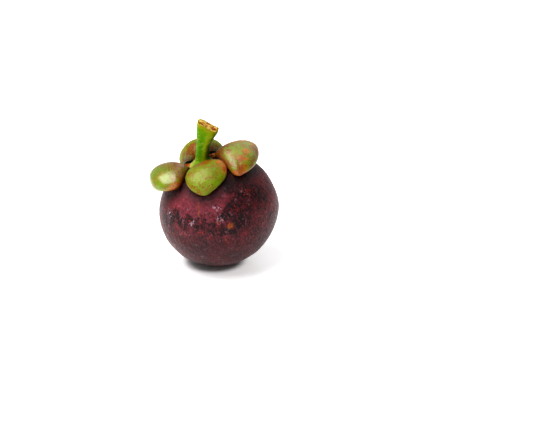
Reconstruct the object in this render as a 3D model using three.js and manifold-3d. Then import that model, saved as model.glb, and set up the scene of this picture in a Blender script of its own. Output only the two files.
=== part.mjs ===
// A whole mangosteen, resting as it would on a table: the round purple fruit leans to one side on a
// small flat spot. At its stem end are the cut green stalk on its swollen foot, and round it the four
// thick domed lobes of the calyx. At the other end is the woody rosette of stigma lobes.
// Millimetres, +Z up. The origin is the middle of the flat spot that the fruit rests on.
import * as THREE from "three";
import { mergeVertices } from "three/addons/utils/BufferGeometryUtils.js";
import Module from "manifold-3d";

// ---- Driving dimensions, in mm and degrees ----
const fruit = {
  width: 62.0, // across the equator
  height: 58.0, // pole to pole, before the hollows at both ends
  boxiness: 2.04, // 2 is an ellipsoid, more is squarer at the shoulders
  centre: [3.0, 0.1, 28.75], // from the middle of the flat spot
  lean: 22, // the stem end leans towards -X
  stemHollow: { depth: 3.85, radius: 13 },
  tipHollow: { depth: 1.8, radius: 8.5 },
  // Gentle unevenness: share of the radius, waves round the axis, waves from pole to pole, phase.
  swells: [
    { share: 0.011, round: 2, along: 0, phase: -0.46 },
    { share: 0.009, round: 3, along: 1.2, phase: 2.45 },
    { share: 0.004, round: 5, along: 2.0, phase: 4.0 },
  ],
};
const clearance = 0.35; // between neighbouring pieces

// The calyx stands a little to one side of the fruit's own pole.
const calyxShift = [1.5, 0];

const stalk = {
  base: 26.0, // height of the foot's underside above the fruit's centre, along its axis
  lean: -1.5, // of the foot, on top of the fruit's own lean
  length: 17.8,
  footRadius: 6.0,
  footHeight: 1.9,
  shoulder: { size: 2.6, up: 2.4, spread: 1.6, towards: 185 }, // a swelling on one side of the foot
  neckRadius: 3.8,
  endRadius: 3.9,
  flare: 0.7, // how far the torn end swells out on its low side
  bow: 10.1, // how far the cut end stands off the foot's axis, towards +X
  bowPower: 1.2, // 1 is a straight slant, more bends it towards the end
  backward: 0.6, // and towards +Y
  cutSlope: 1.0, // fall of the cut face across the end, per mm
  cutTilt: 0.22, // and its fall from back to front
  rough: 0.5, // torn fibres on the cut face
  // Low ridges up its length: share of the radius, how many round it, phase.
  ridges: [
    { share: 0.035, round: 5, phase: 0.8 },
    { share: 0.02, round: 3, phase: 2.0 },
  ],
  // Shares of the length at which the end starts to swell, to slope and to look torn.
  swellsFrom: 0.72,
  slopesFrom: 0.35,
  tearsFrom: 0.9,
};

// Each calyx lobe is a thick domed shell that lies over the rind.
//   azimuth    which way it points, round the fruit's axis
//   root, tip  where it starts and ends, along the rind from the stalk's axis
//   halfWidth  from midrib to edge where it is widest
//   rootWidth  share of that which is left at the root
//   widestAt   where it is widest, from -1 at the root to 1 at the tip
//   height     of its crown over its rim
//   tuck       angle that the shell has turned down by at its rim, so more than 90 curls it under
//   point      how much the tip stands out, as a share of the half length
//   crown      shift of the crown towards the tip
//   sweep      sideways bend of the tip
//   slant      how far one side of the root starts nearer to the tip than the other
//   tipRise    lift of the tip off the rind
//   roll       lift of one edge and fall of the other
//   corners    places round the rim, in degrees from the tip, where the outline stands out or in, and by
//              what share of the half length
const lobes = {
  left: {
    root: 8.1,
    azimuth: 193.7,
    tip: 23.2,
    halfWidth: 12.4,
    rootWidth: 0.42,
    widestAt: 0.09,
    height: 5.8,
    tuck: 104,
    point: 0.19,
    crown: 0.3,
    sweep: 2.4,
    slant: -1.6,
    tipRise: 2.6,
    roll: -2.1,
    corners: [[45, -0.11], [90, -0.05]],
  },
  right: {
    root: 9.4,
    azimuth: 356.1,
    tip: 28,
    halfWidth: 16.7,
    rootWidth: 0.2,
    widestAt: 0.35,
    height: 3.9,
    tuck: 105,
    point: -0.02,
    crown: 0,
    sweep: -2.1,
    slant: 1.3,
    tipRise: 2.6,
    roll: 2.1,
    corners: [[-45, -0.04], [45, -0.03]],
  },
  front: {
    root: 8.3,
    azimuth: 282.1,
    tip: 28.4,
    halfWidth: 10.2,
    rootWidth: 0.35,
    widestAt: -0.68,
    height: 2.1,
    tuck: 110,
    point: -0.01,
    crown: -0.2,
    sweep: -3.1,
    slant: 0.6,
    tipRise: -1,
    roll: -0.8,
    corners: [[-45, -0.12], [-90, -0.12], [90, -0.13], [-135, 0.13], [135, 0.12]],
  },
  back: {
    root: 6.8,
    azimuth: 97.2,
    tip: 31.4,
    halfWidth: 11.7,
    rootWidth: 0.55,
    widestAt: 0.49,
    height: 7.8,
    tuck: 101,
    point: 0.03,
    crown: 0,
    sweep: -1.5,
    slant: 0,
    tipRise: 1.1,
    roll: 0,
    corners: [[-45, 0.09], [45, 0.06]],
  },
};
const lobeFlesh = {
  thickness: 2.6,
  rimRoundness: 0.55, // 1 is a round lens, less keeps the thickness nearer to the rim
  sinksBy: 0.8, // how far a leaning lobe's low edge may go down towards the rind
  pointSpread: 0.35, // half angle of the tip's point, in radians
  cornerSpread: 0.5, // and of the other corners
};

const rosette = {
  radius: 5.9,
  lobes: 7,
  notch: 0.26, // depth of the notch between lobes, as a share of the radius
  height: 0.9,
  groove: 0.75, // share of the height lost in the grooves
  rimRoundness: 0.6,
  eye: { radius: 1.2, depth: 0.45 },
};

// Facets round each solid, and from pole to pole.
const facets = {
  fruit: [64, 34],
  lobe: [32, 18],
  rosette: [56, 12],
  stalk: [24, 26],
};

// ---- Small helpers ----
const radians = THREE.MathUtils.degToRad;
const smooth = THREE.MathUtils.smoothstep;

// A unit sphere with its poles on Z, every vertex of which is moved to place(x, y, z).
function reshapedSphere([around, across], place) {
  const geometry = new THREE.SphereGeometry(1, around, across).rotateX(Math.PI / 2);
  return reshaped(geometry, place);
}

function reshaped(geometry, place) {
  geometry.deleteAttribute("normal");
  geometry.deleteAttribute("uv");
  const position = geometry.attributes.position;
  for (let i = 0; i < position.count; i++) {
    const p = place(position.getX(i), position.getY(i), position.getZ(i));
    position.setXYZ(i, p.x, p.y, p.z);
  }
  return mergeVertices(geometry, 1e-4);
}

const wasm = await Module();
wasm.setup();

function toSolid(geometry) {
  return new wasm.Manifold(
    new wasm.Mesh({
      numProp: 3,
      vertProperties: Float32Array.from(geometry.attributes.position.array),
      triVerts: Uint32Array.from(geometry.index.array),
    }),
  );
}

function toGeometry(solid) {
  const mesh = solid.getMesh();
  const geometry = new THREE.BufferGeometry();
  geometry.setAttribute("position", new THREE.BufferAttribute(mesh.vertProperties, 3));
  geometry.setIndex(new THREE.BufferAttribute(mesh.triVerts, 1));
  return geometry;
}

// ---- Rind ----
// The point of the rind that lies in the direction (x, y, z) from the fruit's centre.
function rindPoint(x, y, z) {
  const n = fruit.boxiness;
  const across = Math.hypot(x, y);
  const turn = Math.atan2(y, x);
  let reach = (across ** n + Math.abs(z) ** n) ** (-1 / n);
  for (const s of fruit.swells) {
    reach *= 1 + s.share * across ** 2 * Math.sin(s.round * turn + s.along * Math.PI * z + s.phase);
  }
  const point = new THREE.Vector3(x, y, z).multiplyScalar((reach * fruit.width) / 2);
  point.z *= fruit.height / fruit.width;
  const hollow = z > 0 ? fruit.stemHollow : fruit.tipHollow;
  const outward = across * reach * fruit.width / 2 / hollow.radius;
  point.z -= Math.sign(z) * hollow.depth * Math.exp(-(outward ** 2));
  return point;
}

// The fruit's frame, tilted as it rests.
function tiltedFruit() {
  const group = new THREE.Group();
  group.position.set(...fruit.centre);
  group.rotation.y = -radians(fruit.lean);
  return group;
}

// The rind, with the flat spot cut where it meets the surface that it rests on.
function makeRind(frame) {
  const skin = reshapedSphere(facets.fruit, rindPoint);
  const size = fruit.width;
  const ground = new THREE.BoxGeometry(size, size, size).translate(0, 0, -size / 2);
  ground.deleteAttribute("normal");
  ground.deleteAttribute("uv");
  frame.updateMatrixWorld(true);
  ground.applyMatrix4(frame.matrixWorld.clone().invert());
  return toGeometry(toSolid(skin).subtract(toSolid(mergeVertices(ground))));
}

// ---- Calyx lobes ----
// The spot of the rind that lies u and v along it from the stem end's pole.
function rindSpot(u, v) {
  const tilt = Math.hypot(u, v) / (fruit.width / 2);
  const turn = Math.atan2(v, u);
  return rindPoint(Math.sin(tilt) * Math.cos(turn), Math.sin(tilt) * Math.sin(turn), Math.cos(tilt));
}

// Which way a surface faces, where (a, b) names a point of it.
function outwardOf(surface, a, b, step) {
  const alongA = surface(a + step, b).sub(surface(a - step, b));
  const alongB = surface(a, b + step).sub(surface(a, b - step));
  return alongA.cross(alongB).normalize();
}

// The middle of a lobe's flesh, for x from the root (-1) to the tip (1) and y from side to side.
function lobeSheet(lobe, x, y) {
  const out = Math.hypot(x, y);
  const turn = Math.atan2(y, x);
  const tuck = radians(lobe.tuck);
  const fall = out * tuck; // the angle that the dome has turned down by, from its crown
  let peak = 1 + lobe.point * out ** 4 * Math.exp(-((turn / lobeFlesh.pointSpread) ** 2));
  for (const [corner, size] of lobe.corners) {
    const off = Math.atan2(Math.sin(turn - radians(corner)), Math.cos(turn - radians(corner)));
    peak += size * out ** 4 * Math.exp(-((off / lobeFlesh.cornerSpread) ** 2));
  }
  const reach = (Math.sin(fall) / Math.sin(Math.min(tuck, Math.PI / 2))) * peak;
  const along = reach * Math.cos(turn) + lobe.crown * (1 - out ** 2);
  const aside = reach * Math.sin(turn);
  const wider = (1 - lobe.rootWidth) * smooth(along, -1, lobe.widestAt);
  const width = lobe.halfWidth * (lobe.rootWidth + wider);
  const slant = lobe.slant * aside * smooth(-along, -1, 1);
  const u = lobe.root + ((lobe.tip - lobe.root) * (along + 1)) / 2 + slant;
  const v = aside * width + lobe.sweep * ((along + 1) / 2) ** 3;
  const dome = (lobe.height * (Math.cos(fall) - Math.cos(tuck))) / (1 - Math.cos(tuck));
  const lean = lobe.tipRise * smooth(along, -0.2, 1) + lobe.roll * aside * smooth(along, -1, 0.2);
  const rise = Math.max(lean, -lobeFlesh.sinksBy); // the low edge lies on the rind
  const spot = new THREE.Vector2(u, v).rotateAround(new THREE.Vector2(), radians(lobe.azimuth));
  spot.add(new THREE.Vector2(...calyxShift));
  const lift = clearance + lobeFlesh.thickness / 2 + dome + rise;
  return rindSpot(spot.x, spot.y).addScaledVector(outwardOf(rindSpot, spot.x, spot.y, 0.05), lift);
}

function makeLobe(lobe) {
  const { thickness, rimRoundness } = lobeFlesh;
  const sheet = (x, y) => lobeSheet(lobe, x, y);
  return reshapedSphere(facets.lobe, (x, y, z) => {
    const half = (thickness / 2) * Math.sign(z) * Math.abs(z) ** rimRoundness;
    return sheet(x, y).addScaledVector(outwardOf(sheet, x, y, 0.01), half);
  });
}

// ---- Stalk ----
// Half of the stalk's outline, up from the middle of its foot to the middle of its cut face.
function stalkOutline() {
  const { length, footRadius, footHeight, neckRadius, endRadius, swellsFrom } = stalk;
  const steps = facets.stalk[1];
  const outline = [new THREE.Vector2(0, 0)];
  for (let i = 0; i <= steps; i++) {
    const height = (length * i) / steps;
    const foot = (footRadius - neckRadius) * Math.exp(-((height / footHeight) ** 2));
    const head = (endRadius - neckRadius) * smooth(height, length * swellsFrom, length);
    outline.push(new THREE.Vector2(neckRadius + foot + head, height));
  }
  for (const inward of [2 / 3, 1 / 3, 0]) outline.push(new THREE.Vector2(endRadius * inward, length));
  return outline;
}

// A lathe turned up from the foot, then ridged, bowed, flared and cut aslant at its end.
function makeStalk() {
  const turned = new THREE.LatheGeometry(stalkOutline(), facets.stalk[0]).rotateX(Math.PI / 2);
  return reshaped(turned, (x, y, z) => {
    const share = THREE.MathUtils.clamp(z / stalk.length, 0, 1);
    const turn = Math.atan2(y, x);
    const out = Math.hypot(x, y) / stalk.endRadius;
    let ridge = 1;
    for (const r of stalk.ridges) ridge += r.share * Math.sin(r.round * turn + r.phase);
    const flare = stalk.flare * smooth(share, stalk.swellsFrom, 1) * Math.max(0, Math.cos(turn)) * out;
    const torn = stalk.rough * smooth(share, stalk.tearsFrom, 1) * Math.sin(3 * turn + 1.2) * out;
    const slope = (stalk.cutSlope * x - stalk.cutTilt * y) * smooth(share, stalk.slopesFrom, 1);
    const { size, up, spread, towards } = stalk.shoulder;
    const facing = Math.max(0, Math.cos(turn - radians(towards))) * Math.min(1, Math.hypot(x, y) / stalk.neckRadius);
    const shoulder = size * facing * Math.exp(-(((z - up) / spread) ** 2));
    return new THREE.Vector3(
      x * ridge + Math.cos(turn) * (flare + shoulder) + stalk.bow * share ** stalk.bowPower,
      y * ridge + Math.sin(turn) * shoulder + stalk.backward * share,
      z - slope + torn,
    );
  });
}

// ---- Rosette of stigma lobes ----
function makeRosette() {
  return reshapedSphere(facets.rosette, (x, y, z) => {
    const turn = Math.atan2(y, x);
    const out = Math.hypot(x, y);
    const between = (1 - Math.abs(Math.cos((rosette.lobes * turn) / 2))) ** 2;
    const reach = rosette.radius * out * (1 - rosette.notch * between);
    const eye = rosette.eye.depth * Math.exp(-((reach / rosette.eye.radius) ** 2));
    const relief = rosette.height * (1 - rosette.groove * between * smooth(out, 0.05, 0.5)) - eye;
    const lift = clearance + (relief / 2) * (1 + Math.sign(z) * Math.abs(z) ** rosette.rimRoundness);
    const under = rindPoint(...underDirection(reach, -turn));
    const outward = under.clone().normalize();
    return under.addScaledVector(outward, lift);
  });
}

// The direction from the fruit's centre to the spot of the tip end at that distance from the axis.
function underDirection(reach, turn) {
  const tilt = Math.asin(reach / (fruit.width / 2));
  return [Math.sin(tilt) * Math.cos(turn), Math.sin(tilt) * Math.sin(turn), -Math.cos(tilt)];
}

// ---- Assembly ----
function skin(color, roughness) {
  return new THREE.MeshStandardMaterial({ color, roughness, metalness: 0 });
}
const finishes = {
  rind: skin(0x3f1a22, 0.42),
  lobe: skin(0x97a339, 0.4),
  stalk: skin(0x4f8f12, 0.45),
  rosette: skin(0x5d4332, 0.75),
};

function named(name, geometry, finish) {
  const mesh = new THREE.Mesh(geometry, finish);
  mesh.name = name;
  return mesh;
}

function makeCalyx() {
  const group = new THREE.Group();
  const cutStalk = named("stalk", makeStalk(), finishes.stalk);
  cutStalk.position.set(...calyxShift, stalk.base);
  cutStalk.rotation.y = -radians(stalk.lean);
  group.add(cutStalk);
  for (const [side, lobe] of Object.entries(lobes)) {
    group.add(named(`calyx_lobe_${side}`, makeLobe(lobe), finishes.lobe));
  }
  return group;
}

function makeMangosteen() {
  const mangosteen = new THREE.Group();
  const frame = tiltedFruit();
  frame.add(named("rind", makeRind(frame), finishes.rind));
  frame.add(named("stigma_rosette", makeRosette(), finishes.rosette));
  frame.add(makeCalyx());
  mangosteen.add(frame);
  return mangosteen;
}

export default makeMangosteen();
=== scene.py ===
import math

import bmesh
import bpy
from mathutils import Matrix, Vector, noise
from mathutils.bvhtree import BVHTree


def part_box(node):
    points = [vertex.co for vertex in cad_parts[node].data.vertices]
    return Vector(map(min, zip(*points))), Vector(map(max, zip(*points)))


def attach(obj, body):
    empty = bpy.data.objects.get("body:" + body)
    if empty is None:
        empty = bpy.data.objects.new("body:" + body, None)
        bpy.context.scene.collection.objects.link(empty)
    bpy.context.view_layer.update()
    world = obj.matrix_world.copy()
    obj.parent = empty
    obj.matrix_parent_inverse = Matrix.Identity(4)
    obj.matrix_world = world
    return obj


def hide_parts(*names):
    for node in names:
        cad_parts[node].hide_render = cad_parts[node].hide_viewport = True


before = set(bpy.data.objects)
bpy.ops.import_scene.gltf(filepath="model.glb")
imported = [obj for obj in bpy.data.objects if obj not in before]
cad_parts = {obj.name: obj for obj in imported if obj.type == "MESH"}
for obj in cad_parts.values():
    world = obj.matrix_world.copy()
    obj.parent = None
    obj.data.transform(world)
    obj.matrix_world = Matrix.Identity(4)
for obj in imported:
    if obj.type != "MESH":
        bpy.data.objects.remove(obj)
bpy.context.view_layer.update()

print("frame loaded:", ", ".join(sorted(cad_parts)))

mm = 0.001


# small helpers for numbers
def smooth(value, low, high):
    share = min(max((value - low) / (high - low), 0.0), 1.0)
    return share * share * (3 - 2 * share)


def ripple(place, size, octaves, seed):  # natural unevenness from -1 to 1, size is the width of a swell
    return noise.fractal(place / size + Vector((seed, -seed, 2 * seed)), 0.9, 2.0, octaves)


# the fruit's own frame and the skin that everything grows from
fruit = {
    "width": 62.0 * mm,  # across the equator
    "height": 58.0 * mm,  # from pole to pole, before the hollows
    "boxiness": 2.04,  # 2 is an ellipsoid, more is squarer
    "centre": Vector((3.0, 0.1, 28.75)) * mm,
    "lean": 22,  # degrees that the stem end leans to -X
    "stemHollow": {"depth": 3.85 * mm, "radius": 13 * mm},
    "tipHollow": {"depth": 1.8 * mm, "radius": 8.5 * mm},
    "swells": [  # share of the radius, waves round the axis, waves from pole to pole, phase
        (0.011, 2, 0.0, -0.46),
        (0.009, 3, 1.2, 2.45),
        (0.004, 5, 2.0, 4.0),
    ],
    "clearance": 0.35 * mm,
    "calyxShift": Vector((1.5, 0)) * mm,
}
tilt = Matrix.Rotation(-math.radians(fruit["lean"]), 4, "Y")
fruitFrame = Matrix.Translation(fruit["centre"]) @ tilt


def skinPoint(x, y, z):
    n = fruit["boxiness"]
    across = math.hypot(x, y)
    turn = math.atan2(y, x)
    reach = (across**n + abs(z) ** n) ** (-1 / n)
    for share, waves, along, phase in fruit["swells"]:
        reach *= 1 + share * across**2 * math.sin(waves * turn + along * math.pi * z + phase)
    point = Vector((x, y, z)) * reach * fruit["width"] / 2
    point.z *= fruit["height"] / fruit["width"]
    hollow = fruit["stemHollow"] if z > 0 else fruit["tipHollow"]
    outward = across * reach * fruit["width"] / 2 / hollow["radius"]
    point.z -= math.copysign(hollow["depth"], z) * math.exp(-(outward**2))
    return point


def skinSpot(u, v):  # u and v are distances along the skin from the stem's pole
    lean = math.hypot(u, v) / (fruit["width"] / 2)
    turn = math.atan2(v, u)
    return skinPoint(math.sin(lean) * math.cos(turn), math.sin(lean) * math.sin(turn), math.cos(lean))


def facing(surface, a, b, step):  # the way that a surface faces at (a, b)
    alongA = surface(a + step, b) - surface(a - step, b)
    alongB = surface(a, b + step) - surface(a, b - step)
    return alongA.cross(alongB).normalized()


# small helpers for pieces
def proudOf(node, mesh):  # how far the mesh stands out of the box of its CAD node
    low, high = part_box(node)
    sides = [[vert.co[axis] for vert in mesh.vertices] for axis in range(3)]
    return max(max(low[axis] - min(side), max(side) - high[axis]) for axis, side in enumerate(sides))


def finishPiece(bm, name, node, material, place=fruitFrame):
    bmesh.ops.transform(bm, matrix=place, verts=bm.verts)
    for face in bm.faces:
        face.smooth = True
    mesh = bpy.data.meshes.new(name)
    bm.to_mesh(mesh)
    bm.free()
    piece = bpy.data.objects.new(name, mesh)
    bpy.context.scene.collection.objects.link(piece)
    mesh.materials.append(material)
    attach(piece, "root")
    made = f"{name}: {len(mesh.polygons)} faces"
    if node:
        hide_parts(node)
        made += f", {proudOf(node, mesh) / mm:.2f} mm proud of the box of {node}"
    print(made)
    return piece


# small helpers for materials
class Nodes:
    # a short hand for one node tree: add nodes, set their values, join their sockets
    def __init__(self, tree):
        self.tree = tree

    def add(self, kind, values=None, **settings):
        node = self.tree.nodes.new(kind)
        for key, value in settings.items():
            setattr(node, key, value)
        for key, value in (values or {}).items():
            if isinstance(value, bpy.types.NodeSocket):
                self.tree.links.new(value, node.inputs[key])
            else:
                node.inputs[key].default_value = value
        return node

    def feed(self, value, socket):
        self.tree.links.new(value, socket)

    def math(self, operation, a, b=0.0, clamp=False):
        return self.add("ShaderNodeMath", {0: a, 1: b}, operation=operation, use_clamp=clamp).outputs[0]

    def vectorMath(self, operation, a, b=None, output=0):
        values = {0: a}
        if b is not None:
            values["Scale" if operation == "SCALE" else 1] = b
        return self.add("ShaderNodeVectorMath", values, operation=operation).outputs[output]

    def mix(self, factor, a, b, blend="MIX"):
        node = self.add("ShaderNodeMix", data_type="RGBA", blend_type=blend)
        for name, value in (("Factor", factor), ("A", a), ("B", b)):
            socket = [s for s in node.inputs if s.name == name and s.enabled][0]
            if isinstance(value, bpy.types.NodeSocket):
                self.tree.links.new(value, socket)
            else:
                socket.default_value = value
        return [s for s in node.outputs if s.enabled][0]

    def remap(self, value, low, high, start=0.0, end=1.0):
        values = {"Value": value, "From Min": low, "From Max": high, "To Min": start, "To Max": end}
        return self.add("ShaderNodeMapRange", values, interpolation_type="SMOOTHSTEP").outputs[0]

    def noise(self, vector, size, detail=3.0, roughness=0.55):
        values = {"Vector": vector, "Scale": 1 / size, "Detail": detail, "Roughness": roughness}
        return self.add("ShaderNodeTexNoise", values).outputs["Fac"]

    def attribute(self, name):
        return self.add("ShaderNodeAttribute", attribute_name=name).outputs["Fac"]

    def objectSpace(self):
        return self.add("ShaderNodeTexCoord").outputs["Object"]

    def fruitSpace(self, stretch):  # Z runs up the fruit's own axis, and a pattern is drawn out by stretch
        turned = (0, -math.radians(fruit["lean"]), 0)
        values = {"Vector": self.objectSpace(), "Rotation": turned, "Scale": stretch}
        return self.add("ShaderNodeMapping", values, vector_type="TEXTURE").outputs[0]

    def blots(self, vector, fray, spots, softness=0.4):  # the masks of several patches in one
        masks = [usePatch(self, vector, fray, spot, radius, softness) for spot, radius in spots]
        total = masks[0]
        for mask in masks[1:]:
            total = self.math("MAXIMUM", total, mask)
        return total

    def share(self, mask, part):
        return self.math("MULTIPLY", mask, part)

    def frayed(self, vector, size, detail, roughness, strength):  # noise round 0, to make outlines ragged
        return self.share(self.math("SUBTRACT", self.noise(vector, size, detail, roughness), 0.5), strength)

    def bumps(self, height, strength, depth, shader):
        values = {"Strength": strength, "Distance": depth, "Height": height}
        self.feed(self.add("ShaderNodeBump", values).outputs[0], shader.inputs["Normal"])


def newGroup(name, inputs, outputs):
    group = bpy.data.node_groups.new(name, "ShaderNodeTree")
    for label, kind in inputs:
        group.interface.new_socket(name=label, in_out="INPUT", socket_type=kind)
    for label, kind in outputs:
        group.interface.new_socket(name=label, in_out="OUTPUT", socket_type=kind)
    nodes = Nodes(group)
    return group, nodes, nodes.add("NodeGroupInput").outputs, nodes.add("NodeGroupOutput").inputs


def newMaterial(name):
    material = bpy.data.materials.new(name)
    material.use_nodes = True
    shader = material.node_tree.nodes["Principled BSDF"]
    return material, Nodes(material.node_tree), shader


def colour(red, green, blue):  # from 0 to 255, as a colour picker shows it
    linear = [c / 255 / 12.92 if c <= 10 else ((c / 255 + 0.055) / 1.055) ** 2.4 for c in (red, green, blue)]
    return (*linear, 1.0)


freckleWarp = 0.6 * mm  # how far freckles stray from round


# Freckles: small dots, some of them left out, with soft edges.
def makeFreckles():
    sockets = [("Vector", "NodeSocketVector"), ("Size", "NodeSocketFloat"), ("Share", "NodeSocketFloat")]
    group, nodes, given, result = newGroup("freckles", sockets, [("Mask", "NodeSocketFloat")])
    scale = nodes.math("DIVIDE", 1.0, given["Size"])
    warp = nodes.add("ShaderNodeTexNoise", {"Vector": given["Vector"], "Scale": scale, "Detail": 2.0})
    offset = nodes.vectorMath("SCALE", warp.outputs["Color"], freckleWarp)
    place = nodes.vectorMath("ADD", given["Vector"], offset)
    cells = nodes.add("ShaderNodeTexVoronoi", {"Vector": place, "Scale": scale})
    dot = nodes.remap(cells.outputs["Distance"], 0.42, 0.12)
    pick = nodes.add("ShaderNodeSeparateColor", {"Color": cells.outputs["Color"]}).outputs[0]
    kept = nodes.math("LESS_THAN", pick, given["Share"])
    nodes.feed(nodes.math("MULTIPLY", dot, kept), result["Mask"])
    return group


# Patch: one soft-edged blot round a point. Fray, about -0.5 to 0.5, makes its outline ragged.
def makePatch():
    sockets = [
        ("Vector", "NodeSocketVector"),
        ("Centre", "NodeSocketVector"),
        ("Radius", "NodeSocketFloat"),
        ("Softness", "NodeSocketFloat"),
        ("Fray", "NodeSocketFloat"),
    ]
    group, nodes, given, result = newGroup("patch", sockets, [("Mask", "NodeSocketFloat")])
    apart = nodes.vectorMath("DISTANCE", given["Vector"], given["Centre"], "Value")
    share = nodes.math("DIVIDE", apart, given["Radius"])
    edge = nodes.math("ADD", share, given["Fray"])
    inner = nodes.math("SUBTRACT", 1.0, given["Softness"])
    outer = nodes.math("ADD", 1.0, given["Softness"])
    nodes.feed(nodes.remap(edge, outer, inner), result["Mask"])
    return group


# Streak: a thin line from one point to another, that fades at its edges.
def makeStreak():
    sockets = [
        ("Vector", "NodeSocketVector"),
        ("Start", "NodeSocketVector"),
        ("Run", "NodeSocketVector"),
        ("Width", "NodeSocketFloat"),
        ("Fray", "NodeSocketFloat"),
    ]
    group, nodes, given, result = newGroup("streak", sockets, [("Mask", "NodeSocketFloat")])
    away = nodes.vectorMath("SUBTRACT", given["Vector"], given["Start"])
    onRun = nodes.vectorMath("DOT_PRODUCT", away, given["Run"], "Value")
    runRun = nodes.vectorMath("DOT_PRODUCT", given["Run"], given["Run"], "Value")
    along = nodes.math("DIVIDE", onRun, runRun, clamp=True)
    nearest = nodes.vectorMath("SCALE", given["Run"], along)
    apart = nodes.vectorMath("DISTANCE", away, nearest, "Value")
    edge = nodes.math("ADD", nodes.math("DIVIDE", apart, given["Width"]), given["Fray"])
    nodes.feed(nodes.remap(edge, 1.0, 0.3), result["Mask"])
    return group


freckles = makeFreckles()
patch = makePatch()
streak = makeStreak()


def useFreckles(nodes, vector, size, share):
    values = {"Vector": vector, "Size": size, "Share": share}
    return nodes.add("ShaderNodeGroup", values, node_tree=freckles).outputs["Mask"]


def usePatch(nodes, vector, fray, centre, radius, softness):
    values = {"Vector": vector, "Centre": centre, "Radius": radius, "Softness": softness, "Fray": fray}
    return nodes.add("ShaderNodeGroup", values, node_tree=patch).outputs["Mask"]


def useStreak(nodes, vector, fray, start, end, width):
    values = {"Vector": vector, "Start": start, "Run": end - start, "Width": width, "Fray": fray}
    return nodes.add("ShaderNodeGroup", values, node_tree=streak).outputs["Mask"]


# calyx lobes
lobeFlesh = {
    "thickness": 2.6 * mm,
    "rimRoundness": 0.55,
    "sinksBy": 0.8,  # the most that a lowered side may sink, in mm
    "pointSpread": 0.35,  # how wide the point and the corners are, in radians
    "cornerSpread": 0.5,
    "round": 112,  # faces round each lobe
    "down": 64,
    "green": colour(114, 146, 0),
    "pale": colour(152, 166, 30),
    "olive": colour(118, 118, 0),
    "brown": colour(88, 38, 10),
    "rust": colour(142, 60, 4),
    "gold": colour(180, 112, 0),
    "blush": colour(200, 100, 26),
    "creases": 0.12 * mm,
    "creaseWidth": 4 * mm,
    "shine": 0.35,
    "translucence": (0.12, (2 * mm, 2 * mm, 0.5 * mm)),  # weight, and how far each colour spreads
    "bumpDepth": 0.3 * mm,
}

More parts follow.
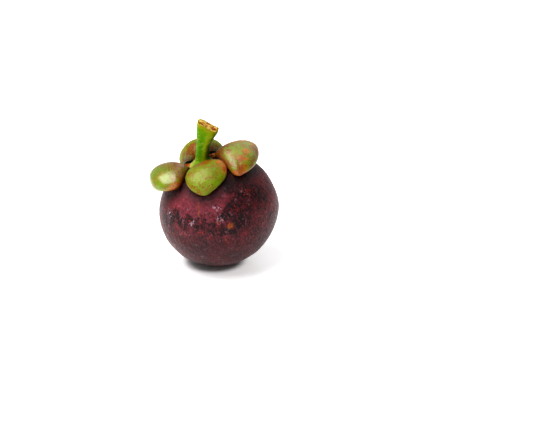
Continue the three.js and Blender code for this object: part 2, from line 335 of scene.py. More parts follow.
# Lengths in mm: root and tip, along the rind from the stalk's middle; halfWidth, midrib to edge; height,
# of the crown over the rim; sweep, how far the tip bends sideways; slant, how far one side of the root
# lies further out; tipRise and roll, how far the tip and one side are lifted.
# Angles in degrees: azimuth, round the stalk; tuck, turned down at the rim, and past 90 back inwards;
# corners, from the tip, each with the share that the outline stands out there.
# Shares: rootWidth is what is left of the width at the root, widestAt runs from -1 at the root to 1 at
# the tip, point is how much the tip stands out, crown moves the top towards the tip, and evenness over 1
# spreads the dome's fall from the rim towards the middle.
# Finish: waxCoat is the glossy layer, rootReach and rootBrown say how far and how strongly the root is
# brown, partly its own colour and partly painted shade in the cleft round the stalk, and rimRust and speckled
# add red-brown mottling.
# Patches of colour: x and y on the lobe, from its middle to its rim at 1, and radius in mm; the pale patches
# are painted highlights and sheen.
lobes = {
    "left": {
        "root": 8.1, "azimuth": 193.7, "tip": 23.2, "halfWidth": 12.4, "rootWidth": 0.42, "widestAt": 0.09,
        "height": 5.8, "evenness": 1.0, "tuck": 104, "point": 0.19, "crown": 0.3, "sweep": 2.4,
        "slant": -1.6, "tipRise": 2.6, "roll": -2.1, "corners": [(45, -0.11), (90, -0.05)],
        "grainy": 0.18, "roughness": 0.34, "waxCoat": 1.0, "coatRoughness": 0.29,
        "rootReach": 0.15, "rootBrown": 0.75, "rimRust": 0.9, "speckled": 0.5,
        "gold": [(0.4, 0.85, 3.5)],
        "blush": [(0.25, 0.75, 2.4), (-0.05, 0.85, 2.6), (0.5, 0.7, 2.0)],
        "rust": [(0.15, 0.9, 3.6), (-0.2, 0.9, 3.6), (-0.25, -0.35, 4.0)],
        "pale": [(0.1, 0.3, 4.0), (0.6, 0.6, 3.0)],
    },
    "right": {
        "root": 9.4, "azimuth": 356.1, "tip": 28.0, "halfWidth": 16.7, "rootWidth": 0.2, "widestAt": 0.35,
        "height": 4.5, "evenness": 1.35, "tuck": 105, "point": -0.02, "crown": 0.0, "sweep": -2.1,
        "slant": 1.3, "tipRise": 2.6, "roll": 2.1,
        "corners": [(-50, -0.1), (45, -0.03), (-105, 0.14), (135, 0.14)],
        "grainy": 0.3, "roughness": 0.5, "waxCoat": 1.0, "coatRoughness": 0.37,
        "rootReach": 0.1, "rootBrown": 0.8, "rimRust": 1.2, "speckled": 1.7,
        "gold": [(0.2, -0.3, 2.6), (0.25, -0.5, 2.6), (0.3, -0.7, 3.0), (0.24, -0.12, 2.2)],
        "rust": [
            (0.15, -0.36, 1.4), (0.2, -0.52, 1.4), (0.58, 0.0, 3.0), (0.62, -0.35, 3.0), (0.3, -0.9, 3.4),
            (-0.1, 0.35, 3.6), (0.2, 0.4, 4.0), (0.5, 0.3, 3.4), (-0.6, -0.8, 3.4), (-0.2, -0.9, 3.0),
        ],
        "blush": [
            (-0.15, 0.22, 3.0), (0.1, 0.25, 3.4), (0.35, 0.2, 3.0), (0.25, -0.3, 1.4), (0.1, -0.85, 2.4),
        ],
        "pale": [(-0.1, -0.3, 3.6)],
    },
    "front": {
        "root": 8.3, "azimuth": 282.1, "tip": 27.9, "halfWidth": 10.2, "rootWidth": 0.35, "widestAt": -0.68,
        "height": 2.1, "evenness": 1.0, "tuck": 110, "point": 0.04, "crown": -0.2, "sweep": -4.6,
        "slant": 0.6, "tipRise": -1.0, "roll": -0.8,
        "corners": [(-45, -0.16), (-90, -0.14), (90, -0.13), (-135, -0.14), (180, -0.06), (135, 0.13)],
        "grainy": 0.5, "roughness": 0.36, "waxCoat": 0.2, "coatRoughness": 0.34,
        "rootReach": -0.05, "rootBrown": 0.2, "rimRust": 0.3, "speckled": 1.25,
        "gold": [(0.05, 0.7, 3.2), (-0.3, 0.65, 3.2), (-0.2, 0.45, 2.0)],
        "rust": [(0.1, 0.65, 2.0), (-0.2, 0.65, 1.8), (-0.4, 0.4, 2.6), (-0.3, 0.1, 3.0)],
        "blush": [(0.05, 0.75, 2.8), (-0.3, 0.7, 2.8)],
        "pale": [(0.2, -0.2, 6.0)],
    },
    "back": {
        "root": 6.8, "azimuth": 97.2, "tip": 31.4, "halfWidth": 11.7, "rootWidth": 0.55, "widestAt": 0.49,
        "height": 7.8, "evenness": 1.0, "tuck": 101, "point": 0.03, "crown": 0.0, "sweep": -1.5,
        "slant": 0.0, "tipRise": 1.1, "roll": 0.0, "corners": [(-45, 0.09), (45, 0.06)],
        "grainy": 0.4, "roughness": 0.42, "waxCoat": 0.0, "coatRoughness": 0.3,
        "rootReach": 0.0, "rootBrown": 0.55, "rimRust": 0.0, "speckled": 1.2,
        "gold": [(0.1, 0.2, 3.0)],
        "rust": [(-0.5, 0.2, 2.8), (-0.7, -0.4, 5.0)],
        "blush": [(0.4, -0.7, 2.0)],
        "pale": [(-0.2, 0.75, 5.0), (-0.5, 0.5, 3.0)],
    },
}


def lobeSheet(lobe, x, y):  # the middle of the flesh, x from root to tip, y from side to side
    out = math.hypot(x, y)
    turn = math.atan2(y, x)
    tuck = math.radians(lobe["tuck"])
    fall = out * tuck
    peak = 1 + lobe["point"] * out**4 * math.exp(-((turn / lobeFlesh["pointSpread"]) ** 2))
    for corner, size in lobe["corners"]:
        off = math.remainder(turn - math.radians(corner), 2 * math.pi)
        peak += size * out**4 * math.exp(-((off / lobeFlesh["cornerSpread"]) ** 2))
    reach = math.sin(fall) / math.sin(min(tuck, math.pi / 2)) * peak
    along = reach * math.cos(turn) + lobe["crown"] * (1 - out**2)
    aside = reach * math.sin(turn)
    wider = (1 - lobe["rootWidth"]) * smooth(along, -1, lobe["widestAt"])
    width = lobe["halfWidth"] * (lobe["rootWidth"] + wider)
    slant = lobe["slant"] * aside * smooth(-along, -1, 1)
    u = lobe["root"] + (lobe["tip"] - lobe["root"]) * (along + 1) / 2 + slant
    v = aside * width + lobe["sweep"] * ((along + 1) / 2) ** 3
    share = (math.cos(fall) - math.cos(tuck)) / (1 - math.cos(tuck))
    dome = lobe["height"] * math.copysign(abs(share) ** lobe["evenness"], share)
    lean = lobe["tipRise"] * smooth(along, -0.2, 1) + lobe["roll"] * aside * smooth(along, -1, 0.2)
    rise = max(lean, -lobeFlesh["sinksBy"])  # the low edge lies on the rind
    spot = Matrix.Rotation(math.radians(lobe["azimuth"]), 2) @ Vector((u, v)) * mm + fruit["calyxShift"]
    lift = fruit["clearance"] + lobeFlesh["thickness"] / 2 + (dome + rise) * mm
    return skinSpot(*spot) + facing(skinSpot, spot.x, spot.y, 0.05 * mm) * lift


def lobeSpots(lobe, places):  # points of the lobe's upper face, with their radius
    def sheet(x, y):
        return lobeSheet(lobe, x, y)

    spots = []
    for x, y, radius in places:
        top = sheet(x, y) + facing(sheet, x, y, 0.01) * lobeFlesh["thickness"] / 2
        spots.append((fruitFrame @ top, radius * mm))
    return spots


def lobeMaterial(side):
    lobe = lobes[side]
    material, nodes, shader = newMaterial(f"calyx_{side}")
    place = nodes.objectSpace()
    grain = nodes.noise(place, 1.5 * mm, 7, 0.7)
    cloud = nodes.noise(place, 5 * mm, 5, 0.62)
    fray = nodes.frayed(place, 1.9 * mm, 7, 0.78, 3.6)
    skin = nodes.mix(nodes.remap(cloud, 0.35, 0.65), lobeFlesh["green"], lobeFlesh["olive"])
    # painted highlights: pale patches where the softbox's light is reflected
    paleHighlights = nodes.blots(place, nodes.share(fray, 0.5), lobeSpots(lobe, lobe["pale"]), 0.7)
    skin = nodes.mix(nodes.share(paleHighlights, 0.45), skin, lobeFlesh["pale"])
    skin = nodes.mix(nodes.remap(grain, 0.5, 0.7, 0, 0.45), skin, lobeFlesh["pale"])
    mottle = nodes.math("ADD", nodes.frayed(place, 0.8 * mm, 5, 0.72, 1.8), 0.5)
    golden = nodes.blots(place, fray, lobeSpots(lobe, lobe["gold"]), 0.8)
    goldness = nodes.remap(nodes.math("ADD", cloud, nodes.share(golden, 0.35)), 0.52, 0.9)
    skin = nodes.mix(nodes.share(goldness, 0.9), skin, lobeFlesh["gold"])

    blushing = nodes.share(nodes.blots(place, fray, lobeSpots(lobe, lobe["blush"]), 0.8), 0.35)
    blushed = nodes.remap(nodes.math("ADD", mottle, blushing), 0.62, 0.84)
    skin = nodes.mix(nodes.share(blushed, 0.85), skin, lobeFlesh["blush"])

    # red-brown mottling, denser in its patches, round the root and along the rim; round the root it is partly
    # painted shade
    atRoot = nodes.remap(nodes.attribute("along"), lobe["rootReach"], lobe["rootReach"] - 0.7)
    atRim = nodes.remap(nodes.attribute("rim"), 0.78, 0.98)
    blotched = nodes.blots(place, fray, lobeSpots(lobe, lobe["rust"]), 0.8)
    where = nodes.remap(nodes.noise(place, 4 * mm, 4, 0.6), 0.4, 0.6, -0.03, 0.12)
    density = nodes.math("ADD", nodes.share(blotched, 0.24), nodes.share(atRim, 0.22 * lobe["rimRust"]))
    density = nodes.math("ADD", density, nodes.share(atRoot, 0.36 * lobe["rootBrown"]))
    density = nodes.math("ADD", density, nodes.share(where, lobe["speckled"]))
    rusty = nodes.remap(nodes.math("ADD", mottle, density), 0.61, 0.76)
    skin = nodes.mix(nodes.share(rusty, 0.8), skin, lobeFlesh["rust"])
    # partly painted shade: brown darkens the root, where the cleft round the stalk lies in shadow, mixed with
    # the lobe's own mottling
    brownAndRootShade = nodes.remap(nodes.math("ADD", mottle, nodes.share(atRoot, 0.3 * lobe["rootBrown"])), 0.68, 0.9)
    skin = nodes.mix(nodes.share(brownAndRootShade, 0.85), skin, lobeFlesh["brown"])
    pits = useFreckles(nodes, place, 1.5 * mm, 0.12)
    skin = nodes.mix(nodes.share(pits, 0.45), skin, lobeFlesh["brown"])
    nodes.feed(skin, shader.inputs["Base Color"])

    rougher = nodes.remap(grain, 0.3, 0.7, lobe["roughness"] - 0.03, lobe["roughness"] + 0.08)
    nodes.feed(rougher, shader.inputs["Roughness"])
    shader.inputs["Specular IOR Level"].default_value = lobeFlesh["shine"]
    shader.inputs["Coat Weight"].default_value = lobe["waxCoat"]
    shader.inputs["Coat Roughness"].default_value = lobe["coatRoughness"]
    weight, spread = lobeFlesh["translucence"]
    shader.inputs["Subsurface Weight"].default_value = weight
    shader.inputs["Subsurface Radius"].default_value = spread
    shader.inputs["Subsurface Scale"].default_value = 1.0
    relief = nodes.math("SUBTRACT", nodes.noise(place, 0.9 * mm, 6, 0.7), nodes.share(pits, 0.5))
    nodes.bumps(relief, lobe["grainy"], lobeFlesh["bumpDepth"], shader)
    return material


def makeLobe(side):
    lobe = lobes[side]
    bm = bmesh.new()
    bmesh.ops.create_uvsphere(bm, u_segments=lobeFlesh["round"], v_segments=lobeFlesh["down"], radius=1)
    alongLayer = bm.verts.layers.float.new("along")
    rimLayer = bm.verts.layers.float.new("rim")

    def sheet(x, y):
        return lobeSheet(lobe, x, y)

    for vert in bm.verts:
        x, y, z = vert.co
        vert[alongLayer] = x
        vert[rimLayer] = math.hypot(x, y) if z > 0 else 1.0
        half = lobeFlesh["thickness"] / 2 * math.copysign(abs(z) ** lobeFlesh["rimRoundness"], z)
        point = sheet(x, y) + facing(sheet, x, y, 0.01) * half
        crease = ripple(point, lobeFlesh["creaseWidth"], 3, 2.2) - 1
        vert.co = point + point.normalized() * lobeFlesh["creases"] * crease
    bmesh.ops.recalc_face_normals(bm, faces=bm.faces)
    piece = finishPiece(bm, f"calyx_{side}", f"calyx_lobe_{side}", lobeMaterial(side))
    mesh = piece.data
    return BVHTree.FromPolygons([v.co for v in mesh.vertices], [p.vertices for p in mesh.polygons])


lobeTrees = [makeLobe(side) for side in lobes]


# rind
rind = {
    "round": 260,  # faces round the axis
    "down": 150,  # and from pole to pole
    "lumps": (9 * mm, 0.16 * mm),  # width and height of the broad unevenness
    "dimples": (2.6 * mm, 0.05 * mm),
    # Shade painted into the colour close round the calyx lobes, for the deep shadow under their rims.
    "shadeReach": 3.6 * mm,
    "shadeShift": Vector((-1.2, 0, 1.6)) * mm,  # from a shaded place to the lobe, towards the light
    "dullBelow": (30 * mm, 18 * mm),  # heights where the dull red starts and is full
    "busyBand": [(43 * mm, 35 * mm), (18 * mm, 27 * mm)],  # and the same for the grainy band, above and below
    "ripeRed": colour(118, 30, 40),
    "maroon": colour(40, 13, 18),
    "nearBlack": colour(14, 6, 8),
    "flushAndSheen": colour(154, 74, 88),  # a lighter red on the shoulder, partly painted sheen where the window's light falls
    "fleck": colour(150, 44, 52),
    "dusk": colour(42, 25, 24),  # the duller, greyer red below
    "wax": colour(176, 166, 178),
    "spark": colour(214, 70, 34),
    "rust": colour(196, 112, 44),
    "latex": colour(176, 96, 34),  # a bead of dried yellow sap
    # Where the marks are: degrees round the axis, degrees from the stem, radius.
    "flushedAndLit": [(-97, 58, 15 * mm), (-82, 68, 8 * mm), (-112, 62, 7 * mm)],
    "dark": [
        (-56.4, 56, 3.6 * mm), (-50.9, 65, 4.2 * mm), (-62.2, 69.9, 2.6 * mm), (-47, 58.6, 3.4 * mm),
        (-59.2, 87.2, 4.4 * mm), (-146, 70.4, 3.6 * mm), (-127.9, 63.3, 3.4 * mm), (-68.8, 73, 3.2 * mm),
        (-119.1, 74, 3.0 * mm), (-104.8, 76.5, 3.2 * mm), (-75.1, 78.5, 3.0 * mm), (-66.4, 91, 4.0 * mm),
        (-97.9, 80.5, 3.4 * mm), (-36, 73, 4.5 * mm), (-132.5, 67, 3.4 * mm), (-91.5, 85, 3.4 * mm),
        (-121.5, 69.5, 2.8 * mm), (-112.2, 72, 3.0 * mm), (-84.2, 90, 3.4 * mm), (-75.5, 93.5, 3.4 * mm),
        (-164.8, 62.4, 3.4 * mm),
    ],
    # whitish smears of wax, some of them painted glints of the strip light
    "waxedAndGlints": [
        (-79.7, 69.7, 1.5 * mm), (-82.6, 65.8, 1.4 * mm), (-82.9, 81, 1.5 * mm), (-81.5, 77.5, 1.6 * mm),
        (-111.4, 75.3, 1.1 * mm), (-135.9, 62.3, 2.4 * mm), (-108, 73.5, 1.0 * mm),
    ],
    "sparkling": [
        (-63, 76, 2.0 * mm), (-61, 79, 1.4 * mm), (-110.9, 73.6, 1.6 * mm), (-100.4, 72, 1.2 * mm),
        (-103.9, 83.8, 1.6 * mm), (-98.6, 90.5, 1.4 * mm), (-46.2, 57.8, 1.3 * mm), (-46.2, 67.7, 3.0 * mm),
    ],
    "bead": (-76.0, 89.9, 1.6 * mm),
    "scratch": [(-96.1, 56.1), (-100.6, 70.3)],
    "scratchWidth": 0.35 * mm,
    "roughness": (0.28, 0.5),
    "waxRoughness": (0.2, 0.2, 0.2, 1),
    "shine": 0.32,
    "bumps": (0.6, 0.5 * mm),  # strength and depth
}


def rindSide(turn, fromStem):  # a point of the skin, from angles in degrees
    t, f = math.radians(turn), math.radians(fromStem)
    return fruitFrame @ skinPoint(math.sin(f) * math.cos(t), math.sin(f) * math.sin(t), math.cos(f))


def rindSpots(places):
    return [(rindSide(turn, fromStem), radius) for turn, fromStem, radius in places]


def rindMaterial():
    material, nodes, shader = newMaterial("mangosteen_rind")
    place = nodes.objectSpace()
    grain = nodes.noise(place, 1.5 * mm, 8, 0.72)
    cloud = nodes.noise(place, 11 * mm, 4, 0.6)
    fray = nodes.frayed(place, 2.6 * mm, 6, 0.72, 3.2)
    height = nodes.add("ShaderNodeSeparateXYZ", {0: place}).outputs["Z"]
    low = nodes.remap(height, *rind["dullBelow"])
    banded = nodes.math("MULTIPLY", *[nodes.remap(height, *side) for side in rind["busyBand"]])

    # ripe red and maroon, lighter on the shoulder, partly by painted sheen, duller below, with dark blots
    mottle = nodes.math("ADD", nodes.share(grain, 0.4), nodes.share(cloud, 0.6))
    skin = nodes.mix(nodes.remap(mottle, 0.42, 0.56), rind["maroon"], rind["ripeRed"])
    # partly painted sheen: the lighter red lies where the window's light falls
    flushedAndLit = nodes.blots(place, nodes.share(fray, 0.35), rindSpots(rind["flushedAndLit"]), 0.7)
    skin = nodes.mix(nodes.share(flushedAndLit, 0.55), skin, rind["flushAndSheen"])
    skin = nodes.mix(nodes.share(low, 0.66), skin, rind["dusk"])
    marks = nodes.blots(place, nodes.share(fray, 0.5), rindSpots(rind["dark"]), 0.6)
    blots = nodes.math("ADD", nodes.noise(place, 5.5 * mm, 8, 0.72), nodes.share(marks, 0.2))
    skin = nodes.mix(nodes.share(nodes.remap(blots, 0.53, 0.68), 0.94), skin, rind["nearBlack"])

    # fine grain: dark pores, lines drawn from pole to pole, red flecks
    busy = nodes.remap(nodes.math("MAXIMUM", marks, banded), 0, 1, 0.25, 0.8)
    pores = nodes.remap(nodes.noise(place, 1.2 * mm, 5, 0.78), 0.49, 0.4)
    skin = nodes.mix(nodes.math("MULTIPLY", pores, busy), skin, rind["nearBlack"])
    brushed = nodes.noise(nodes.fruitSpace((1, 1, 8)), 0.8 * mm, 4, 0.65)
    skin = nodes.mix(nodes.remap(brushed, 0.46, 0.62, 0, 0.4), skin, rind["dusk"])
    skin = nodes.mix(nodes.remap(brushed, 0.5, 0.38, 0, 0.22), skin, rind["flushAndSheen"])
    flecks = nodes.remap(nodes.noise(place, 1.3 * mm, 5, 0.78), 0.53, 0.61)
    skin = nodes.mix(nodes.share(nodes.math("MULTIPLY", flecks, busy), 0.7), skin, rind["fleck"])

    # orange sparks in clusters, a few rusty dots, smears of wax, some of them painted glints where the strip
    # light is reflected
    near = nodes.remap(nodes.noise(place, 5 * mm, 3, 0.6), 0.54, 0.7, 0, 0.8)
    cluster = nodes.math("MAXIMUM", near, nodes.blots(place, fray, rindSpots(rind["sparkling"]), 0.6))
    sparks = nodes.remap(nodes.noise(place, 0.75 * mm, 2, 0.5), 0.6, 0.68)
    skin = nodes.mix(nodes.math("MULTIPLY", sparks, cluster), skin, rind["spark"])
    rusty = useFreckles(nodes, place, 1.9 * mm, 0.04)
    skin = nodes.mix(nodes.share(rusty, 0.45), skin, rind["rust"])
    waxAndGlints = nodes.blots(place, fray, rindSpots(rind["waxedAndGlints"]), 0.5)
    dusty = nodes.remap(nodes.noise(place, 1.3 * mm, 5, 0.75), 0.5, 0.6)
    waxy = nodes.math("MAXIMUM", waxAndGlints, nodes.remap(nodes.noise(place, 4 * mm, 4, 0.6), 0.5, 0.7, 0.02, 0.3))
    wax = nodes.math("MULTIPLY", dusty, waxy)
    skin = nodes.mix(nodes.share(wax, 0.85), skin, rind["wax"])

    turn, fromStem, radius = rind["bead"]
    bead = usePatch(nodes, place, nodes.share(fray, 0.35), rindSide(turn, fromStem), radius, 0.25)
    sap = nodes.mix(nodes.remap(grain, 0.35, 0.6), rind["maroon"], rind["latex"])
    skin = nodes.mix(nodes.share(bead, 0.9), skin, sap)
    start, end = [rindSide(*side) for side in rind["scratch"]]
    scratch = useStreak(nodes, place, nodes.share(fray, 2.4), start, end, rind["scratchWidth"])
    skin = nodes.mix(nodes.share(scratch, 0.38), skin, rind["rust"])

    # painted shade, which no lamp casts
    shade = nodes.math("MULTIPLY", nodes.attribute("nearLobes"), nodes.remap(grain, 0.3, 0.6, 1, 0.7))
    skin = nodes.mix(nodes.share(shade, 0.95), skin, rind["nearBlack"])
    nodes.feed(skin, shader.inputs["Base Color"])

    wear = nodes.remap(nodes.noise(place, 1.2 * mm, 6, 0.7), 0.3, 0.7, *rind["roughness"])
    nodes.feed(nodes.mix(waxAndGlints, wear, rind["waxRoughness"]), shader.inputs["Roughness"])
    shader.inputs["Specular IOR Level"].default_value = rind["shine"]
    relief = nodes.math("ADD", nodes.share(grain, 0.8), nodes.share(cloud, 0.8))
    relief = nodes.math("ADD", relief, nodes.share(bead, 1.2))
    relief = nodes.math("ADD", relief, nodes.share(brushed, 0.2))
    relief = nodes.math("SUBTRACT", relief, nodes.share(pores, 0.3))
    nodes.bumps(relief, *rind["bumps"], shader)
    return material


def makeRind():
    bm = bmesh.new()
    bmesh.ops.create_uvsphere(bm, u_segments=rind["round"], v_segments=rind["down"], radius=1)
    lumpWidth, lumpHeight = rind["lumps"]
    dimpleWidth, dimpleHeight = rind["dimples"]
    for vert in bm.verts:
        point = skinPoint(*vert.co)
        out = point.normalized()
        lump = lumpHeight * ripple(point, lumpWidth, 3, 1.7)
        dimple = dimpleHeight * ripple(point, dimpleWidth, 3, 5.1)
        vert.co = point + out * (lump + dimple - lumpHeight)
    ground = fruitFrame.inverted()
    up = tilt.inverted() @ Vector((0, 0, 1))
    whole = [*bm.verts, *bm.edges, *bm.faces]
    middle = ground @ Vector()
    cut = bmesh.ops.bisect_plane(bm, geom=whole, plane_co=middle, plane_no=-up, clear_outer=True)
    rim = [item for item in cut["geom_cut"] if isinstance(item, bmesh.types.BMEdge)]
    bmesh.ops.contextual_create(bm, geom=rim)
    bmesh.ops.recalc_face_normals(bm, faces=bm.faces)
    near = bm.verts.layers.float.new("nearLobes")
    for vert in bm.verts:
        place = fruitFrame @ vert.co
        apart = min(tree.find_nearest(place + rind["shadeShift"])[3] for tree in lobeTrees)
        vert[near] = math.exp(-((apart / rind["shadeReach"]) ** 2))
    finishPiece(bm, "rind_skin", "rind", rindMaterial())


makeRind()


# stalk
stalk = {
    "base": 26.0 * mm,  # height of the foot above the fruit's centre, along its axis
    "lean": -1.5,
    "length": 17.8 * mm,
    "footRadius": 6.0 * mm,
    "footHeight": 1.3 * mm,
    "neckRadius": 3.8 * mm,
    "endRadius": 3.9 * mm,
    "flare": 0.7 * mm,
    "bow": 10.1 * mm,  # how far the top is bent to +X
    "bowPower": 1.2,  # 1 leans evenly, more bends late
    "backward": 0.6 * mm,
    "shoulder": {"size": 2.3 * mm, "up": 1.5 * mm, "spread": 1.2 * mm, "towards": 185},
    "cutSlope": 1.0,  # fall of the cut face to +X
    "cutTilt": 0.22,  # and to -Y
    "rough": 0.46 * mm,  # waviness of the cut's edge
    "ridges": [(0.035, 5, 0.8), (0.02, 3, 2.0)],  # share of the radius, ridges round it, phase
    "swellsFrom": 0.72,  # shares of the length
    "slopesFrom": 0.35,
    "tearsFrom": 0.9,
    "round": 80,
    "up": 90,
    "green": colour(74, 138, 0),
    "lime": colour(152, 170, 0),
    "deep": colour(34, 74, 0),
    "cream": colour(214, 192, 112),
    "straw": colour(156, 150, 10),
    "amber": colour(186, 128, 16),
    "torn": colour(112, 66, 26),
    "bloodSpot": colour(128, 24, 8),
    # where the cut face is red: x, y, z and radius in mm
    "bruises": [(0.8, -0.6, 72.5, 1.2), (-7.0, 0.6, 75.6, 1.5)],
    "limeSide": {"towards": -66, "spread": 27},  # degrees round the stalk
    # painted shade on the side of the stalk away from the softbox
    "shadedSide": {"towards": 0, "spread": 42},
    "toeSide": {"towards": 190, "spread": 35},
    "tornBy": 0.3 * mm,  # how rough the cut face is
    "tornWidth": 1.6 * mm,
    "cutRings": 9,  # rings of faces on the cut face
    "shine": 0.1,
    "roughness": (0.36, 0.5),
    "bumps": (0.5, 0.3 * mm),  # strength and depth
}


def stalkOutline(bm):
    steps, length, neck = stalk["up"], stalk["length"], stalk["neckRadius"]
    points = [Vector((0, 0, 0))]
    for i in range(steps + 1):
        height = length * i / steps
        foot = (stalk["footRadius"] - neck) * math.exp(-((height / stalk["footHeight"]) ** 2))
        head = (stalk["endRadius"] - neck) * smooth(height, length * stalk["swellsFrom"], length)
        points.append(Vector((neck + foot + head, 0, height)))
    rings = stalk["cutRings"]
    for i in range(1, rings + 1):
        points.append(Vector((stalk["endRadius"] * (1 - i / rings), 0, length)))
    verts = [bm.verts.new(p) for p in points]
    return verts + [bm.edges.new(pair) for pair in zip(verts, verts[1:])]


def stalkMaterial():
    material, nodes, shader = newMaterial("stalk_bark")
    place = nodes.objectSpace()
    grain = nodes.noise(place, 1.1 * mm, 6, 0.65)
    fibre = nodes.noise(nodes.fruitSpace((1, 1, 7)), 0.9 * mm, 4, 0.6)
    wrinkle = nodes.noise(nodes.fruitSpace((5, 5, 1)), 0.75 * mm, 3, 0.55)
    skin = nodes.mix(nodes.remap(fibre, 0.4, 0.65, 0, 0.5), stalk["green"], stalk["lime"])
    skin = nodes.mix(nodes.attribute("limeSide"), skin, stalk["lime"])
    # painted shade: deep green on the side away from the softbox
    skin = nodes.mix(nodes.share(nodes.attribute("shadedSide"), 0.75), skin, stalk["deep"])
    skin = nodes.mix(nodes.remap(grain, 0.56, 0.75, 0, 0.4), skin, stalk["deep"])
    wrinkled = nodes.remap(wrinkle, 0.53, 0.66)
    skin = nodes.mix(nodes.share(wrinkled, 0.36), skin, stalk["cream"])
    upward = nodes.attribute("height")
    yellowing = nodes.remap(nodes.math("ADD", upward, nodes.share(grain, 0.16)), 0.93, 1.06)
    skin = nodes.mix(nodes.share(yellowing, 0.8), skin, stalk["straw"])
    footing = nodes.remap(nodes.math("ADD", upward, nodes.share(grain, 0.1)), 0.3, 0.14)
    footing = nodes.math("MULTIPLY", footing, nodes.attribute("toeSide"))
    skin = nodes.mix(nodes.share(footing, 0.6), skin, stalk["cream"])
    chips = nodes.noise(place, 1.3 * mm, 5, 0.7)
    torn = nodes.mix(nodes.remap(chips, 0.42, 0.52), stalk["torn"], stalk["amber"])
    torn = nodes.mix(nodes.remap(nodes.noise(place, 1.9 * mm, 5, 0.65), 0.48, 0.56), torn, stalk["cream"])
    bruises = [(Vector(spot) * mm, radius * mm) for *spot, radius in stalk["bruises"]]
    bruised = nodes.blots(place, nodes.math("SUBTRACT", grain, 0.5), bruises, 0.4)
    torn = nodes.mix(nodes.share(bruised, 0.8), torn, stalk["bloodSpot"])
    skin = nodes.mix(nodes.attribute("cutFace"), skin, torn)
    nodes.feed(skin, shader.inputs["Base Color"])
    nodes.feed(nodes.remap(grain, 0.3, 0.7, *stalk["roughness"]), shader.inputs["Roughness"])
    shader.inputs["Specular IOR Level"].default_value = stalk["shine"]
    relief = nodes.math("ADD", nodes.share(grain, 0.5), nodes.share(wrinkled, 0.5))
    nodes.bumps(relief, *stalk["bumps"], shader)
    return material


def sideShare(turn, side):  # 1 where the stalk faces that way, fading to 0 round it
    off = math.remainder(turn - math.radians(side["towards"]), 2 * math.pi)
    return math.exp(-((off / math.radians(side["spread"])) ** 2))


def makeStalk():
    bm = bmesh.new()
    outline = stalkOutline(bm)
    turned = {"axis": (0, 0, 1), "cent": (0, 0, 0), "angle": 2 * math.pi, "steps": stalk["round"]}
    bmesh.ops.spin(bm, geom=outline, use_merge=True, **turned)
    bmesh.ops.remove_doubles(bm, verts=bm.verts, dist=1e-7)
    bmesh.ops.recalc_face_normals(bm, faces=bm.faces)
    sides = ("limeSide", "shadedSide", "toeSide")
    layers = {name: bm.verts.layers.float.new(name) for name in ("cutFace", "height", *sides)}
    for vert in bm.verts:
        x, y, z = vert.co
        share = min(max(z / stalk["length"], 0), 1)
        turn = math.atan2(y, x)
        out = math.hypot(x, y) / stalk["endRadius"]
        onCut = share > 0.999 and out < 0.99
        vert[layers["cutFace"]] = float(onCut)
        vert[layers["height"]] = share
        for name in sides:
            vert[layers[name]] = sideShare(turn, stalk[name])
        ridge = 1 + sum(part * math.sin(count * turn + phase) for part, count, phase in stalk["ridges"])
        flare = stalk["flare"] * smooth(share, stalk["swellsFrom"], 1) * max(0, math.cos(turn)) * out
        torn = stalk["rough"] * smooth(share, stalk["tearsFrom"], 1) * math.sin(3 * turn + 1.2) * out
        slope = (stalk["cutSlope"] * x - stalk["cutTilt"] * y) * smooth(share, stalk["slopesFrom"], 1)
        swelling = stalk["shoulder"]
        side = max(0, math.cos(turn - math.radians(swelling["towards"]))) * min(1, out)
        shoulder = swelling["size"] * side * math.exp(-(((z - swelling["up"]) / swelling["spread"]) ** 2))
        bow = stalk["bow"] * share ** stalk["bowPower"]
        vert.co = Vector((
            x * ridge + math.cos(turn) * (flare + shoulder) + bow,
            y * ridge + math.sin(turn) * shoulder + stalk["backward"] * share,
            z - slope + torn,
        ))
        if onCut:
            vert.co.z += stalk["tornBy"] * (ripple(vert.co, stalk["tornWidth"], 3, 3.3) - 0.8)
    foot = Matrix.Translation((*fruit["calyxShift"], stalk["base"]))
    foot = foot @ Matrix.Rotation(-math.radians(stalk["lean"]), 4, "Y")
    finishPiece(bm, "stalk_stem", "stalk", stalkMaterial(), fruitFrame @ foot)


makeStalk()

# petal scars: shrivelled stubs round the stalk's foot, between the lobes
scars = {
    # degrees round the calyx's middle, distance in mm
    "places": [(148, 7.6), (153, 10.4), (236, 7.8), (322, 8.2), (40, 7.6)],
    "size": (2.6, 1.9, 1.3),  # across, outward and up, in mm
    "lift": 0.5 * mm,
    "wrinkles": 0.6 * mm,
    "wrinkleWidth": 1.7 * mm,
    "shine": 0.2,
    "bumps": (0.6, 0.3 * mm),  # strength and depth
    "brown": colour(184, 100, 44),
    "dark": colour(104, 44, 24),
    "straw": colour(186, 150, 66),
}


def scarMaterial():
    material, nodes, shader = newMaterial("petal_scar")
    place = nodes.objectSpace()
    grain = nodes.noise(place, 0.9 * mm, 6, 0.7)
    skin = nodes.mix(nodes.remap(grain, 0.42, 0.58), scars["dark"], scars["brown"])
    skin = nodes.mix(nodes.remap(nodes.noise(place, 1.4 * mm, 4, 0.6), 0.52, 0.66), skin, scars["straw"])
    nodes.feed(skin, shader.inputs["Base Color"])
    nodes.feed(nodes.remap(grain, 0.3, 0.7, 0.5, 0.75), shader.inputs["Roughness"])
    shader.inputs["Specular IOR Level"].default_value = scars["shine"]
    nodes.bumps(grain, *scars["bumps"], shader)
    return material


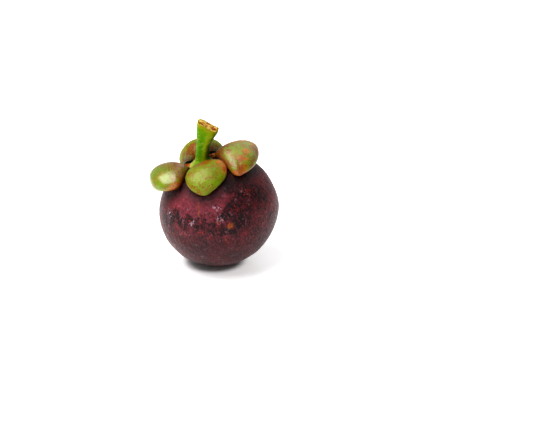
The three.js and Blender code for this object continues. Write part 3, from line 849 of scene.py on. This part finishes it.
def makeScars():
    bm = bmesh.new()
    for number, (turn, reach) in enumerate(scars["places"]):
        turn = math.radians(turn)
        spot = Vector((math.cos(turn), math.sin(turn))) * reach * mm + fruit["calyxShift"]
        seat = skinSpot(*spot)
        up = facing(skinSpot, spot.x, spot.y, 0.05 * mm)
        turned = up.to_track_quat("Z", "Y").to_matrix().to_4x4()
        made = bmesh.ops.create_icosphere(bm, subdivisions=5, radius=1)
        for vert in made["verts"]:
            stub = Vector(c * size * mm for c, size in zip(vert.co, scars["size"]))
            point = seat + up * scars["lift"] + turned @ stub
            wrinkle = scars["wrinkles"] * ripple(point, scars["wrinkleWidth"], 4, 4.4 + number)
            vert.co = point + wrinkle * turned @ vert.co
    finishPiece(bm, "petal_scars", None, scarMaterial())


makeScars()


# stigma rosette, under the fruit
rosette = {
    "radius": 5.9 * mm,
    "lobes": 7,
    "notch": 0.26,  # share of the radius missing between lobes
    "height": 0.9 * mm,
    "groove": 0.75,  # and share of the height
    "rimRoundness": 0.6,
    "eyeRadius": 1.2 * mm,
    "eyeDepth": 0.45 * mm,
    "round": 168,
    "down": 40,
    "wood": colour(104, 76, 56),
    "crack": colour(48, 30, 22),
    "bumps": (0.5, 0.3 * mm),  # strength and depth
}


def rosetteMaterial():
    material, nodes, shader = newMaterial("stigma_wood")
    place = nodes.objectSpace()
    grain = nodes.noise(place, 0.8 * mm, 6, 0.7)
    skin = nodes.mix(nodes.remap(grain, 0.4, 0.65), rosette["crack"], rosette["wood"])
    nodes.feed(skin, shader.inputs["Base Color"])
    nodes.feed(nodes.remap(grain, 0.3, 0.7, 0.6, 0.85), shader.inputs["Roughness"])
    nodes.bumps(grain, *rosette["bumps"], shader)
    return material


def makeRosette():
    bm = bmesh.new()
    bmesh.ops.create_uvsphere(bm, u_segments=rosette["round"], v_segments=rosette["down"], radius=1)
    for vert in bm.verts:
        x, y, z = vert.co
        turn = math.atan2(y, x)
        out = math.hypot(x, y)
        between = (1 - abs(math.cos(rosette["lobes"] * turn / 2))) ** 2
        reach = rosette["radius"] * out * (1 - rosette["notch"] * between)
        eye = rosette["eyeDepth"] * math.exp(-((reach / rosette["eyeRadius"]) ** 2))
        relief = rosette["height"] * (1 - rosette["groove"] * between * smooth(out, 0.05, 0.5)) - eye
        lift = fruit["clearance"] + relief / 2 * (1 + math.copysign(abs(z) ** rosette["rimRoundness"], z))
        lean = math.asin(reach / (fruit["width"] / 2))
        side = math.sin(lean)
        under = skinPoint(side * math.cos(-turn), side * math.sin(-turn), -math.cos(lean))
        vert.co = under + under.normalized() * lift
    bmesh.ops.recalc_face_normals(bm, faces=bm.faces)
    finishPiece(bm, "stigma_crown", "stigma_rosette", rosetteMaterial())


makeRosette()


# floor, light and camera
floor = {
    "size": 12.0,
    "white": (0.9, 0.9, 0.9, 1),
    "roughness": 0.35,
    "glow": 0.38,  # light of its own outside the contact shadow, so that the floor shows white
    "glowFrom": 12.5 * mm,  # distances from the middle where it starts and is full
    "glowTo": 18.5 * mm,
}


def makeFloor():
    bm = bmesh.new()
    bmesh.ops.create_grid(bm, x_segments=1, y_segments=1, size=floor["size"] / 2)
    mesh = bpy.data.meshes.new("floor")
    bm.to_mesh(mesh)
    bm.free()
    ground = bpy.data.objects.new("floor", mesh)
    bpy.context.scene.collection.objects.link(ground)
    material, nodes, shader = newMaterial("floor_white")
    shader.inputs["Base Color"].default_value = floor["white"]
    shader.inputs["Roughness"].default_value = floor["roughness"]
    outward = nodes.vectorMath("LENGTH", nodes.objectSpace(), output="Value")
    glow = nodes.remap(outward, floor["glowFrom"], floor["glowTo"], 0, floor["glow"])
    shader.inputs["Emission Color"].default_value = (1, 1, 1, 1)
    nodes.feed(glow, shader.inputs["Emission Strength"])
    mesh.materials.append(material)


makeFloor()

# Azimuth 0 stands where the camera does, and negative is to its left.
softboxes = {  # azimuth, elevation, distance, width, height, radiance
    "softbox": (-75, 64, 1.0, 0.95, 0.72, 4.6),
    "window": (-28, 22, 1.1, 1.3, 0.85, 0.4),
    "strip": (-8, 19, 1.3, 0.3, 0.85, 2.2),
    "backlight": (150, 50, 1.1, 1.2, 1.2, 0.7),
}


def direction(azimuth, elevation):
    a, e = math.radians(azimuth), math.radians(elevation)
    return Vector((math.sin(a) * math.cos(e), -math.cos(a) * math.cos(e), math.sin(e)))


def addSoftbox(name, azimuth, elevation, distance, width, height, radiance):
    light = bpy.data.lights.new(name, "AREA")
    light.shape = "RECTANGLE"
    light.size, light.size_y = width, height
    light.energy = radiance * math.pi * width * height
    lamp = bpy.data.objects.new(name, light)
    bpy.context.scene.collection.objects.link(lamp)
    toLamp = direction(azimuth, elevation)
    lamp.location = fruit["centre"] + toLamp * distance
    lamp.rotation_euler = toLamp.to_track_quat("Z", "Y").to_euler()
    lamp.visible_camera = False


for name, box in softboxes.items():
    addSoftbox(name, *box)

surroundings = {
    "dim": 0.05,  # light from all round
    "bright": 0.32,  # and from the pale wall behind
    "wallTowards": (-0.05, 0.99, 0),
    "seenDirectly": (0.85, 0.85, 0.85, 1),  # the camera alone sees white beyond the floor
}


def makeSurroundings():
    world = bpy.data.worlds.new("studio")
    bpy.context.scene.world = world
    world.use_nodes = True
    nodes = Nodes(world.node_tree)
    toSky = nodes.add("ShaderNodeTexCoord").outputs["Generated"]
    back = nodes.vectorMath("DOT_PRODUCT", toSky, surroundings["wallTowards"], "Value")
    height = nodes.add("ShaderNodeSeparateXYZ", {0: toSky}).outputs["Z"]
    wall = nodes.math("MULTIPLY", nodes.remap(back, -0.35, 0.25), nodes.remap(height, 0.8, 0.55))
    level = nodes.remap(wall, 0, 1, surroundings["dim"], surroundings["bright"])
    seen = nodes.add("ShaderNodeLightPath").outputs["Is Camera Ray"]
    level = nodes.mix(seen, level, surroundings["seenDirectly"])
    background = world.node_tree.nodes["Background"]
    nodes.feed(level, background.inputs["Color"])
    background.inputs["Strength"].default_value = 1.0


makeSurroundings()

camera = {
    "aim": Vector((27.5, 0, 26.5)) * mm,
    "azimuth": 0,
    "elevation": 22,
    "distance": 0.574,
    "lens": 75,
    "sensor": 36,
    "clip": (0.01, 50),
}


def makeCamera():
    lens = bpy.data.cameras.new("camera")
    lens.lens, lens.sensor_width = camera["lens"], camera["sensor"]
    eye = bpy.data.objects.new("camera", lens)
    bpy.context.scene.collection.objects.link(eye)
    toEye = direction(camera["azimuth"], camera["elevation"])
    eye.location = camera["aim"] + toEye * camera["distance"]
    eye.rotation_euler = toEye.to_track_quat("Z", "Y").to_euler()
    lens.clip_start, lens.clip_end = camera["clip"]
    bpy.context.scene.camera = eye


makeCamera()
bpy.context.scene.view_settings.view_transform = "Standard"
bpy.context.scene.view_settings.look = "High Contrast"
print("floor, softboxes and camera are set")
